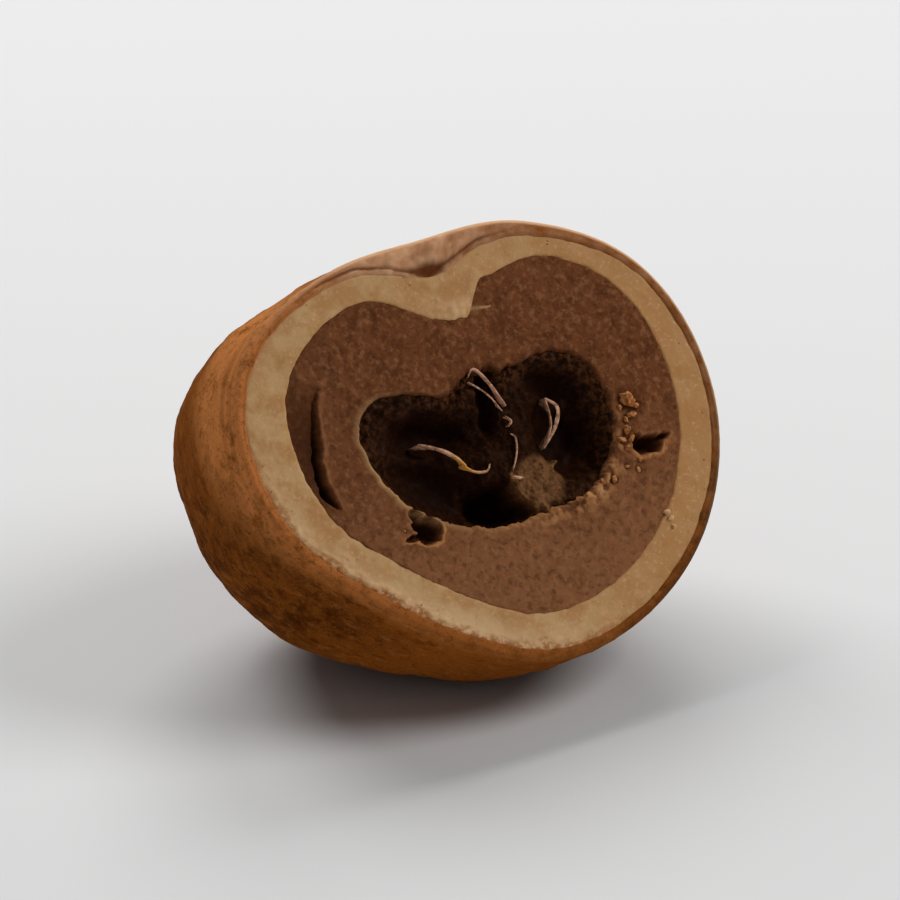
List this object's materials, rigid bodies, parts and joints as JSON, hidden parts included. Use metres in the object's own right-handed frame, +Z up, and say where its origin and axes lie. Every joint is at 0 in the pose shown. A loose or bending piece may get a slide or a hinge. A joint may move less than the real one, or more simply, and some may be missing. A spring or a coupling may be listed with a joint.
{
  "type": "chocolate covered coffee bean",
  "caption": "Cut chocolate covered coffee bean with a cocoa coat, a cream layer, milk chocolate and the broken roasted bean at its cut face.",
  "frame": {"origin": "on the surface it rests on, under the middle of its bounding box", "axes": "+Z up, +X to the right and -Y towards the viewer as in the picture; the cut face looks up, forward and right"},
  "size_m": [0.0152, 0.0116, 0.0117],
  "materials": {
    "cocoa_coat": "dusty cocoa powder",
    "cream_layer": "waxy, cut",
    "milk_filling": "fine grained, cut",
    "coffee_bean": "dark roasted, broken, slightly oily"
  },
  "bodies": {
    "root": {"cocoa_coat": "cocoa_coat", "cream_layer": "cream_layer", "milk_filling": "milk_filling", "coffee_bean": "coffee_bean"}
  },
  "joints": []
}
